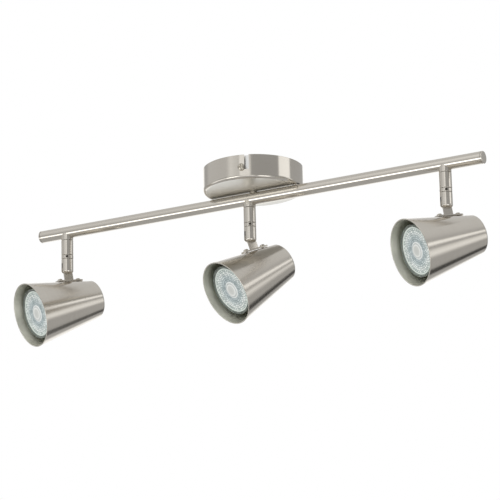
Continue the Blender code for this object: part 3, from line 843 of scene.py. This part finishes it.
@dataclass
class Arm:
    """One swivelling arm: saddle, sleeve and notched ring fixed to the bar, and the fork that turns below."""

    name: str
    swivel: dict[str, Any]
    tilt: dict[str, Any]
    radius: float = 6.15
    bore: float = 3.3
    tube_radius: float = 6.25
    tube_z: float = -30.75
    saddle_bottom: float = -39.4
    sleeve_bottom: float = -55.4
    ring_bottom: float = -59.4
    fork_bottom: float = -74.7
    pivot_z: float = -70.0
    fork_slot: float = 2.1
    fork_bore: float = 4.5
    fork_round: float = 4.6
    fork_solid: float = 4.0
    fork_roof: float = 2.4
    neck_bore: float = 2.9
    slot_top: float = 5.8
    pivot_radius: float = 1.5
    pivot_hole: tuple[float, float] = (-9.0, 4.8)
    pin_ends: tuple[float, float] = (-5.3, 4.4)
    stud_radius: float = 3.0
    stud_length: float = 3.5
    axle_radius: float = 2.6
    axle_drop: float = 3.0
    head_radius: float = 4.0
    head_thickness: float = 1.4
    wire_bore: float = 1.8
    notch_degrees: tuple[float, ...] = (28.0, 118.0, 208.0, 298.0)
    notch_floor: float = 3.9
    notch_margin: float = 0.8
    notch_half: float = 1.2
    # Faces in a notch nearer the arm's line than this get the painted shade
    notch_shade_radius: float = 5.6
    gap: float = 0.3

    def upright(self) -> Axes:
        """Axes on the arm's line at the ceiling's height, with Z up and X to the back."""
        x, y, _ = self.swivel["pos_m"]
        return Axes.of((x, y, 0.0), (0.0, 1.0, 0.0), (0.0, 0.0, 1.0))

    def fork_axes(self) -> Axes:
        """Axes at the pivot, with Y along the pivot and Z up."""
        across = np.array(self.tilt["axis"], float)
        return Axes.of(self.tilt["pos_m"], np.cross(across, (0.0, 0.0, 1.0)), (0.0, 0.0, 1.0))

    def pivot_axes(self) -> Axes:
        """Axes at the pivot, with Z along the pivot."""
        fork = self.fork_axes()
        return Axes.of(fork.origin, fork.turn[:, 0], fork.turn[:, 1])

    def saddle(self) -> bpy.types.Mesh:
        """The collar whose top fits round the tube.

        A ring turned about the arm's line. Its upper rows stand at the tube's height less the root of the
        tube's radius squared minus the distance across the tube squared, so that they follow its underside.
        """
        r, low = self.radius, self.saddle_bottom
        lower = let_in([(self.bore, low + 2.0), (self.bore, low, 0.1), (r, low, 0.45), (r, low + 1.2)])
        across = np.linspace(r, self.bore, 6)
        profile = np.vstack((lower, np.column_stack((across, np.full(6, low + 5.0))), lower[:1]))
        grid, surface = revolved(profile, 72)
        rows = slice(len(lower), len(lower) + 6)
        beside = grid[rows, :, 0]
        near = self.tube_radius + 0.06
        grid[rows, :, 2] = self.tube_z - np.sqrt(near**2 - beside**2)
        return mesh_of("saddle", self.upright(), grid, surface)

    def ring(self) -> bpy.types.Mesh:
        """The ring with four spanner notches, its stud up into the tube and the axle that the fork is on."""
        low, top, lip = self.ring_bottom, self.sleeve_bottom - self.gap, self.ring_bottom - self.axle_drop
        foot, stud = lip - self.head_thickness, self.tube_z - self.stud_length
        corners = [
            (self.wire_bore, stud, 0.1),
            (self.wire_bore, foot, 0.1),
            (self.head_radius, foot, 0.2),
            (self.head_radius, lip, 0.1),
            (self.axle_radius, lip, 0.0),
            (self.axle_radius, low, 0.0),
            (self.radius, low, 0.35),
            (self.radius, top, 0.35),
            (self.stud_radius, top, 0.0),
            (self.stud_radius, stud, 0.2),
        ]
        here = self.upright()
        ring = turned("ring", here, corners, closed=True, segments=72)
        near = (self.notch_floor, -self.notch_half, low + self.notch_margin)
        far = (self.radius + 1.85, self.notch_half, top - self.notch_margin)
        facing = [Axes.facing(here.origin, angle) for angle in self.notch_degrees]
        return worked(ring, [block("notch", out, near, far) for out in facing])

    def in_notch(self, normal: np.ndarray, middle: np.ndarray) -> np.ndarray:
        """Picks the ring's faces that lie in a notch, by their middles on the arm's upright axes."""
        level = 0.5 * (self.ring_bottom + self.sleeve_bottom - self.gap)
        beside = np.hypot(middle[:, 0], middle[:, 1])
        return (np.abs(middle[:, 2] - level) < self.notch_half) & (beside < self.notch_shade_radius)

    def fork(self) -> bpy.types.Mesh:
        """The lower sleeve with a rounded end, slotted for the tongue and bored for the pivot."""
        top = self.ring_bottom - self.gap - self.pivot_z
        bottom = self.fork_bottom - self.pivot_z
        roof = top - self.fork_roof
        corners = [
            (0.0, self.fork_solid, 0.0),
            (self.fork_bore, self.fork_solid, 0.2),
            (self.fork_bore, roof, 0.0),
            (self.neck_bore, roof, 0.0),
            (self.neck_bore, top, 0.1),
            (self.radius, top, 0.4),
            (self.radius, bottom, self.fork_round),
            (0.0, bottom, 0.0),
        ]
        here = self.fork_axes()
        half, far = 0.5 * self.fork_slot, self.radius + 1.85
        body = turned("fork", here, corners, segments=96, steps=12)
        slot = block("slot", here, (-far, -half, bottom - 1.0), (far, half, self.slot_top))
        bore = drill(self.pivot_axes(), self.pivot_radius + self.gap, *self.pivot_hole, segments=40)
        return worked(body, [slot, bore])

    def build(self) -> None:
        """Makes every piece of the arm."""
        side, body = self.name, f"arm_{self.name}"
        edge, low = self.saddle_bottom - self.gap, self.sleeve_bottom
        r, bore, here = self.radius, self.bore, self.upright()
        tube = [(bore, edge, 0.1), (bore, low, 0.1), (r, low, 0.4), (r, edge, 0.4)]
        plated(f"saddle_{side}", self.saddle(), "bar", f"saddle_collar_{side}")
        sleeve = turned("sleeve", here, tube, closed=True, segments=72)
        plated(f"sleeve_{side}", sleeve, "bar", f"upper_sleeve_{side}")
        ring = plated(f"notched_ring_{side}", self.ring(), "bar", f"swivel_core_{side}")
        # Painted shade: the faces in the notches get a dark steel grey
        refaced(ring, here, PAINTED_NOTCH_SHADE, self.in_notch)
        plated(f"fork_{side}", self.fork(), body, f"clevis_{side}")
        r, (near, far) = self.pivot_radius, self.pin_ends
        bar = [(0, near), (r, near, 0.35), (r, far, 0.35), (0, far)]
        pin = turned("pin", self.pivot_axes(), bar, segments=40)
        fastened(f"fork_pin_{side}", pin, body, f"pivot_pin_{side}")


@dataclass
class Spot:
    """One spot: tongue and plate, two screws and the conical shade."""

    name: str
    tilt: dict[str, Any]
    twist: dict[str, Any]
    drop: float = 36.5
    front: float = 57.0
    length: float = 78.0
    front_radius: float = 33.0
    rear_radius: float = 19.0
    wall: float = 1.0
    fillet: float = 2.5
    gap: float = 0.3
    tongue_width: float = 10.0
    tongue_thickness: float = 1.5
    plate: tuple[float, float, float] = (29.0, 8.5, 1.5)
    plate_corner: float = 2.0
    screw_offset: float = 10.2
    screw_hole: float = 1.5
    screw_sink: float = 0.25

    @property
    def taper(self) -> float:
        """Half angle of the cone."""
        return math.atan2(self.front_radius - self.rear_radius, self.length)

    def shade_radius(self, along: float) -> float:
        """Outer radius of the cone, which grows evenly from the rear to the mouth."""
        rear = self.front - self.length
        return self.rear_radius + (along - rear) * math.tan(self.taper)

    @property
    def shade_top(self) -> float:
        """Distance from the pivot to the cone's top line, square to that line."""
        return (self.drop - self.shade_radius(0.0)) * math.cos(self.taper)

    def directions(self) -> tuple[np.ndarray, np.ndarray, np.ndarray]:
        """The directions out of the mouth, along the pivot, and square to both towards the pivot."""
        out, across = np.array(self.twist["axis"], float), np.array(self.tilt["axis"], float)
        return out, across, np.cross(out, across)

    def shade_axes(self) -> Axes:
        """Axes on the shade's line beside the pivot: Z out of the mouth, X towards the pivot."""
        out, _, up = self.directions()
        return Axes.of(np.array(self.tilt["pos_m"]) - self.drop * MM * up, up, out)

    def plate_axes(self) -> Axes:
        """Axes at the pivot: X along the cone's top line towards the mouth, Y along the pivot."""
        out, across, up = self.directions()
        along = math.cos(self.taper) * out + math.sin(self.taper) * up
        return Axes.of(self.tilt["pos_m"], along, np.cross(along, across))

    def shade(self) -> bpy.types.Mesh:
        """The spun cone, closed at its narrow end, with a hole for each plate screw."""
        rear, front, w = self.front - self.length, self.front, self.wall
        inner_rear = self.shade_radius(rear) - w
        corners = [
            (0.0, rear, 0.0),
            (self.shade_radius(rear), rear, self.fillet),
            (self.front_radius, front, 0.4),
            (self.front_radius - w, front, 0.4),
            (inner_rear + 0.18, rear + w, self.fillet - w),
            (0.0, rear + w, 0.0),
        ]
        shade = turned("shade", self.shade_axes(), corners, segments=144, seam=90.0, steps=6)
        square = self.plate_axes().moved(z=-self.shade_top)
        places = (-self.screw_offset, self.screw_offset)
        return worked(shade, [drill(square.moved(x=x), self.screw_hole, -4.0, 4.0) for x in places])

    @staticmethod
    def faces_in(normal: np.ndarray, middle: np.ndarray) -> np.ndarray:
        """Picks the shade's faces that look towards its own line."""
        return (normal[:, :2] * middle[:, :2]).sum(axis=1) < -1e-3

    def tongue(self) -> bpy.types.Mesh:
        """The flat tongue on the pivot, joined to the plate that lies on the shade."""
        length, width, thick = self.plate
        top = -(self.shade_top - self.gap - thick)
        here = self.plate_axes()
        half = 0.5 * self.tongue_width
        arc = np.radians(np.linspace(0.0, 180.0, 25))
        round_end = half * np.column_stack((np.cos(arc), np.sin(arc)))
        outline = np.vstack((round_end, [(-half, top - 0.5), (half, top - 0.5), (half, 0.0)]))
        flat = Axes(here.origin, np.column_stack((here.turn[:, 0], here.turn[:, 2], -here.turn[:, 1])))
        edge = 0.5 * self.tongue_thickness
        tongue = mesh_of("tongue", flat, *slab(outline, -edge, edge, 0.25))
        box = rounded_box(length, width, self.plate_corner)
        plate = mesh_of("plate", here, *slab(box, top - thick, top, 0.3))
        return worked(tongue, [plate], Cut.JOIN)

    def build(self) -> None:
        """Makes the shade, the tongue with its plate and both screws, and dresses the hidden fittings."""
        side, body = self.name, f"spot_{self.name}"
        shade = finished(f"spun_shade_{side}", self.shade(), NICKEL, body, [f"shade_{side}"])
        # The inner faces get the rougher inside finish, whose lighter colour paints in light
        refaced(shade, self.shade_axes(), INSIDE_NICKEL, self.faces_in)
        plated(f"tongue_{side}", self.tongue(), body, f"tongue_bracket_{side}")
        seat = self.gap - (self.shade_top - self.gap - self.plate[2]) - self.screw_sink
        for end, place in (("front", self.screw_offset), ("rear", -self.screw_offset)):
            here = self.plate_axes().moved(x=place, z=seat)
            screw = pan_screw("screw", here, head=2.5, height=1.8, shank=1.2, length=5.7)
            fastened(f"plate_screw_{end}_{side}", screw, body, f"bracket_screw_{end}_{side}")
        dress({f"holder_bracket_{side}": ZINC, f"lamp_holder_{side}": STEATITE})


@dataclass
class Lamp:
    """One reflector lamp: glass shell, lens with lenslets, the lit board behind it and two pins."""

    name: str
    spot: Spot
    face: float = 50.0
    radius: float = 25.5
    base: float = 10.5
    lens_radius: float = 23.3
    boss: float = 7.6
    moat: float = 1.3
    border: float = 1.5
    lens_sink: float = 0.7
    lens_thickness: float = 1.6
    cell_depth: float = 0.45
    cell_steps: int = 6
    rings: int = 6
    lenslets: int = 40
    boss_rows: tuple[tuple[float, float], ...] = (
        (0.0, 0.45),
        (3.2, 0.4),
        (5.6, 0.28),
        (6.9, 0.2),
        (7.3, 0.05),
        (7.6, -0.5),
        (8.0, -0.7),
        (8.6, -0.6),
    )
    board_radius: float = 19.6
    board_levels: tuple[float, float, float] = (45.2, 44.4, 43.6)
    socket_radius: float = 1.8
    socket_offset: float = 5.0

    def shell(self) -> bpy.types.Mesh:
        """The glass body: solid base, flared wall and a stepped rim round the lens."""
        f, r, b = self.face, self.radius, self.base
        corners = [
            (0.0, 0.0, 0.0),
            (b, 0.0, 0.8),
            (b, 12.0, 6.0),
            (14.5, 20.0, 8.0),
            (19.5, 32.0, 10.0),
            (24.0, 44.0, 3.0),
            (r, 46.0, 1.0),
            (r, f, 0.7),
            (24.75, f, 0.15),
            (24.6, f - 0.6, 0.15),
            (24.1, f - 0.6, 0.15),
            (23.95, f - 0.15, 0.12),
            (23.6, f - 0.15, 0.12),
            (23.6, f - 2.6, 0.0),
            (21.5, f - 2.6, 0.2),
            (18.0, 32.0, 4.0),
            (13.0, 20.0, 3.0),
            (b - 1.2, 12.0, 2.0),
            (b - 1.2, 6.0, 0.5),
            (0.0, 6.0, 0.0),
        ]
        here = self.spot.shade_axes()
        shell = turned("shell", here, corners, segments=112, seam=90.0, steps=4)
        places = (-self.socket_offset, self.socket_offset)
        return worked(shell, [drill(here.moved(y=y), self.socket_radius, -1.0, 3.0) for y in places])

    def lens(self) -> bpy.types.Mesh:
        """The lens disc.

        Its front is a polar grid. Between the boss and the edge it is divided into rings, and each ring into
        equal cells, every second ring turned by half a cell. In a cell, u and v run from -1 to 1 across and
        along, and the surface falls below the cell's top by the depth times one minus (1 - u squared) times
        (1 - v squared). The boss stands up in the middle inside a shallow moat, and the back is flat. Each
        lenslet gets a random brightness, which goes to the finish with the dome's height, where it paints a
        highlight on the lenslet's top and shade in its valley.
        """
        inner, outer = self.boss + self.moat, self.lens_radius - self.border
        edge, front = self.lens_radius, self.face - self.lens_sink
        around = self.lenslets * self.cell_steps
        angles = np.linspace(0.0, 2.0 * np.pi, around + 1)
        ring_rows = np.linspace(inner, outer, self.rings * self.cell_steps + 1)
        place = (ring_rows - inner) / (outer - inner) * self.rings
        ring = np.minimum(place.astype(int), self.rings - 1)
        v = 2.0 * (place - ring) - 1.0
        cell = angles[None, :] / (2.0 * np.pi) * self.lenslets + 0.5 * (ring[:, None] % 2)
        u = 2.0 * (cell - np.floor(cell)) - 1.0
        dome = (1.0 - u**2) * (1.0 - v[:, None] ** 2)
        which = np.floor(cell).astype(int) % self.lenslets
        # A random brightness for each lenslet, which scales its painted highlight
        share = np.random.default_rng(11).uniform(0.25, 1.0, (self.rings, self.lenslets))
        painted_glint = share[ring[:, None], which]
        cells = front - self.cell_depth * (1.0 - dome)
        back = -self.lens_thickness
        centre = np.array(self.boss_rows) + (0.0, front)
        border = np.array([(outer + 0.15, -0.1), (edge - 0.3, 0.0), (edge, -0.3), (edge, back), (0.0, back)])
        border += (0.0, front)
        radius = np.concatenate((centre[:, 0], ring_rows, border[:, 0]))
        inside, outside = (np.repeat(rows[:, 1:], around + 1, axis=1) for rows in (centre, border))
        height = np.concatenate((inside, cells, outside))
        grid = np.stack((radius[:, None] * np.cos(angles), radius[:, None] * np.sin(angles), height), axis=2)
        # Painted highlight share: each lenslet's dome height times its random brightness; the finish paints
        # tops light and valleys dark from it
        painted_lenslet_highlight = np.ones_like(height)
        painted_lenslet_highlight[len(centre) : len(centre) + len(dome)] = dome * painted_glint
        surface = np.stack(np.broadcast_arrays(painted_lenslet_highlight, radius[:, None]), axis=2)
        return mesh_of("lens", self.spot.shade_axes(), grid, surface)

    def board(self) -> bpy.types.Mesh:
        """The thin board with its phosphor disc, behind the lens."""
        top, face, back = self.board_levels
        r, disc, foot = self.board_radius, self.boss, self.boss + 0.3
        corners = [(0, top), (disc, top, 0.3), (foot, face, 0.1), (r, face, 0.2), (r, back, 0.2), (0, back)]
        profile = let_in(corners, steps=3)
        grid, surface = revolved(profile, 72)
        surface[:, :, 0], surface[:, :, 1] = 1.0, profile[:, :1]
        return mesh_of("board", self.spot.shade_axes(), grid, surface)

    def build(self) -> None:
        """Makes the shell, the lens and the board, and dresses the pins."""
        side, body = self.name, f"lamp_{self.name}"
        finished(f"lamp_shell_{side}", self.shell(), GLASS, body, [f"lamp_body_{side}"])
        node = f"lamp_lens_{side}"
        finished(f"lens_disc_{side}", self.lens(), ACRYLIC, body, [node], crease=50.0)
        finished(f"led_board_{side}", self.board(), LED_BOARD, body)
        dress({f"lamp_pin_{end}_{side}": PIN_ALUMINIUM for end in "ab"})


def dress(finishes: dict[str, Finish]) -> None:
    """Gives carried-over CAD nodes their finishes.

    Args:
        finishes: finish of each node by its name.
    """
    for node, finish in finishes.items():
        mesh = frame["nodes"][node].data
        mesh.materials.clear()
        mesh.materials.append(finish.material())
        LOG.info("%s: CAD node in %s", node, finish.name)


# -------------------------------------------------------------------------------------- the studio


class PanelKind(Enum):
    """A panel in the studio either gives light or takes it away."""

    SOFTBOX = "softbox"
    FLAG = "flag"


@dataclass(frozen=True)
class Panel:
    """A soft-edged panel, far away, by the directions that it covers in degrees.

    Level is the light that a softbox adds, or the share that a flag takes away.
    """

    kind: PanelKind
    azimuth: float
    elevation: float
    half_width: float
    half_height: float
    level: float
    blur: float = 6.0


@dataclass
class Studio:
    """White surroundings with soft panels, a pale floor far below and the camera."""

    camera_place: tuple[float, float, float] = (1.251499, -2.333862, -0.843183)
    camera_azimuth: float = 28.305
    camera_elevation: float = 16.007
    camera_roll: float = 1.31
    lens_mm: float = 200.72
    floor_z: float = -2.7
    floor_half: float = 45.0
    dome: tuple[tuple[float, float], ...] = (
        (-90.0, 0.52),
        (-50.0, 0.5),
        (-20.0, 0.5),
        (0.0, 0.46),
        (20.0, 0.48),
        (42.0, 0.68),
        (90.0, 0.62),
    )
    panels: tuple[Panel, ...] = (
        Panel(PanelKind.SOFTBOX, 15.5, 17.5, 16.0, 4.0, 0.85, 1.8),
        Panel(PanelKind.SOFTBOX, 27.0, -1.0, 9.0, 8.0, 0.75, 4.0),
        Panel(PanelKind.SOFTBOX, -80.0, 22.0, 12.5, 32.0, 0.55, 2.5),
        Panel(PanelKind.SOFTBOX, -106.0, 22.0, 13.0, 32.0, 0.3, 8.0),
        Panel(PanelKind.FLAG, -34.0, 22.0, 33.0, 32.0, 0.12, 2.5),
        Panel(PanelKind.SOFTBOX, -150.0, 20.0, 40.0, 25.0, 0.16, 9.0),
        Panel(PanelKind.SOFTBOX, 122.0, 0.0, 24.0, 33.0, 0.75, 6.0),
        Panel(PanelKind.SOFTBOX, -118.0, -25.0, 60.0, 9.0, 0.8, 4.0),
        Panel(PanelKind.SOFTBOX, -112.0, -27.0, 14.0, 8.0, 1.6, 4.0),
        Panel(PanelKind.SOFTBOX, -33.0, -38.0, 15.0, 9.0, 2.0, 5.0),
        Panel(PanelKind.FLAG, -118.0, 2.0, 28.0, 5.0, 0.35, 4.0),
        Panel(PanelKind.FLAG, 69.0, -18.0, 9.0, 13.0, 0.9, 3.0),
    )

    def light(self) -> None:
        """Builds the surroundings: white to the camera, and a dome with soft panels to everything else."""
        world = bpy.data.worlds.new("studio")
        bpy.context.scene.world = world
        world.use_nodes = True
        tree = world.node_tree
        tree.nodes.clear()

        sums = partial(maths, tree)

        def inside(distance: Any, half: float, blur: float) -> Any:
            """One inside the panel, falling smoothly to nought across its soft edge."""
            links = {"Value": distance, "From Min": half + blur, "From Max": half - blur}
            return add_node(tree, "ShaderNodeMapRange", links, interpolation_type="SMOOTHSTEP").outputs[0]

        place = add_node(tree, "ShaderNodeNewGeometry", {}).outputs["Position"]
        out = add_node(tree, "ShaderNodeVectorMath", {0: place}, operation="NORMALIZE").outputs[0]
        east, north, up = add_node(tree, "ShaderNodeSeparateXYZ", {0: out}).outputs
        azimuth = sums("DEGREES", sums("ARCTAN2", north, east))
        elevation = sums("DEGREES", sums("ARCSINE", up))
        height = sums("MULTIPLY_ADD", elevation, 1.0 / 180.0, 0.5)
        dome = add_node(tree, "ShaderNodeFloatCurve", {"Value": height})
        points = dome.mapping.curves[0].points
        ends = [((angle + 90.0) / 180.0, level) for angle, level in self.dome]
        points[0].location, points[1].location = ends[0], ends[-1]
        for share, level in ends[1:-1]:
            points.new(share, level)
        dome.mapping.update()
        total = dome.outputs[0]
        for panel in self.panels:
            near = sums("WRAP", azimuth, panel.azimuth + 180.0, panel.azimuth - 180.0)
            sideways = sums("ABSOLUTE", sums("SUBTRACT", near, panel.azimuth))
            upwards = sums("ABSOLUTE", sums("SUBTRACT", elevation, panel.elevation))
            across = inside(sideways, panel.half_width, panel.blur)
            mask = sums("MULTIPLY", across, inside(upwards, panel.half_height, panel.blur))
            if panel.kind is PanelKind.SOFTBOX:
                total = sums("MULTIPLY_ADD", mask, panel.level, total)
            else:
                total = sums("MULTIPLY", total, sums("MULTIPLY_ADD", mask, -panel.level, 1.0))
        paper = linear("FFFFFF")
        soft, white = (
            add_node(tree, "ShaderNodeBackground", {"Color": paper, "Strength": strength}).outputs[0]
            for strength in (total, 1.0)
        )
        seen = add_node(tree, "ShaderNodeLightPath", {}).outputs["Is Camera Ray"]
        mix = add_node(tree, "ShaderNodeMixShader", {0: seen, 1: soft, 2: white})
        add_node(tree, "ShaderNodeOutputWorld", {"Surface": mix.outputs[0]})

    def floor(self) -> None:
        """Lays the pale painted floor, which is stage and not part of the object."""
        mesh = bpy.data.meshes.new("studio_floor")
        half = self.floor_half
        square = ((-half, -half), (half, -half), (half, half), (-half, half))
        mesh.from_pydata([(x, y, self.floor_z) for x, y in square], [], [(0, 1, 2, 3)])
        mesh.materials.append(FLOOR_PAINT.material())
        floor = bpy.data.objects.new("studio_floor", mesh)
        bpy.context.scene.collection.objects.link(floor)
        floor.visible_glossy = False
        floor.visible_diffuse = False

    def camera(self) -> None:
        """Stands the camera low in front on the right, looking up along the bar."""
        a, e, roll = (math.radians(v) for v in (self.camera_azimuth, self.camera_elevation, self.camera_roll))
        look = Vector((-math.sin(a) * math.cos(e), math.cos(a) * math.cos(e), math.sin(e)))
        level = Vector((math.cos(a), math.sin(a), 0.0))
        rise = level.cross(look)
        right = math.cos(roll) * level - math.sin(roll) * rise
        upward = math.sin(roll) * level + math.cos(roll) * rise
        data = bpy.data.cameras.new("camera")
        data.lens, data.sensor_width, data.clip_start, data.clip_end = self.lens_mm, 36.0, 0.1, 100.0
        camera = bpy.data.objects.new("camera", data)
        bpy.context.scene.collection.objects.link(camera)
        turn = Matrix((right, upward, -look)).transposed().to_4x4()
        camera.matrix_world = Matrix.Translation(self.camera_place) @ turn
        bpy.context.scene.camera = camera

    def build(self) -> None:
        """Builds light, floor and camera, and keeps colours as they are."""
        self.camera()
        self.light()
        self.floor()
        bpy.context.scene.view_settings.view_transform = "Standard"


def main() -> None:
    """Builds the studio and the object."""
    logging.basicConfig(level=logging.INFO, format="%(name)s: %(message)s")
    joints = {joint["name"]: joint for joint in frame["joints"]}
    Studio().build()
    Canopy().build()
    sides = ("left", "centre", "right")
    Tube(arms_x=tuple(joints[f"swivel_{side}"]["pos_m"][0] / MM for side in sides)).build()
    for side in sides:
        swivel, tilt, twist = (joints[f"{kind}_{side}"] for kind in ("swivel", "tilt", "lamp_twist"))
        Arm(side, swivel, tilt).build()
        spot = Spot(side, tilt, twist)
        spot.build()
        Lamp(side, spot).build()


if __name__ == "__main__":
    main()
